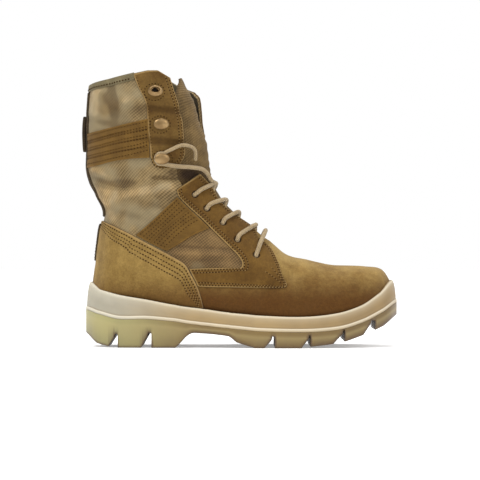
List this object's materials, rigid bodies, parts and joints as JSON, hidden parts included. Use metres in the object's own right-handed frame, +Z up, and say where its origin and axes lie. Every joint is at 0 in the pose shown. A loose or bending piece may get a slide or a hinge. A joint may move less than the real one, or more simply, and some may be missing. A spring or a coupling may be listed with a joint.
{
  "type": "lace-up boot",
  "caption": "Right-foot suede and fabric lace-up boot with a hollow shaft, lace hooks and a lugged two-colour sole.",
  "frame": {"origin": "on the floor, on the flat tread lug under the middle of the heel", "axes": "+X from heel to toe, +Y to the inner side of the foot, +Z up"},
  "size_m": [0.3143, 0.1129, 0.2733],
  "materials": {
    "suede": "napped suede",
    "tongue_fabric": "ribbed weave",
    "binding_fabric": "plain weave",
    "webbing": "stitched webbing",
    "dark_webbing": "dark webbing",
    "footbed_fabric": "matte",
    "honey_rubber": "satin",
    "beige_rubber": "satin",
    "hook_metal": "brushed bronze tone",
    "lace_cord": "braided"
  },
  "bodies": {
    "root": {"outsole": "honey_rubber", "midsole": "beige_rubber", "insole": "footbed_fabric", "tongue": "tongue_fabric", "collar_binding": "binding_fabric", "upper": "suede", "counter": "suede", "quarter_lateral": "suede", "quarter_medial": "suede", "eyestay_lateral": "suede", "eyestay_medial": "suede", "shaft_band_lateral": "webbing", "shaft_band_medial": "webbing", "ankle_strap_lateral": "webbing", "ankle_strap_medial": "webbing", "backstay": "dark_webbing", "heel_strip": "dark_webbing", "pull_loop": "dark_webbing", "hook_lateral_1": "hook_metal", "hook_lateral_2": "hook_metal", "hook_lateral_3": "hook_metal", "hook_medial_1": "hook_metal", "hook_medial_2": "hook_metal", "hook_medial_3": "hook_metal", "lace_bar": "lace_cord", "lace_crossing_1": "lace_cord", "lace_crossing_2": "lace_cord", "lace_crossing_3": "lace_cord", "lace_crossing_4": "lace_cord", "lace_top": "lace_cord", "lace_end": "lace_cord"}
  },
  "joints": []
}
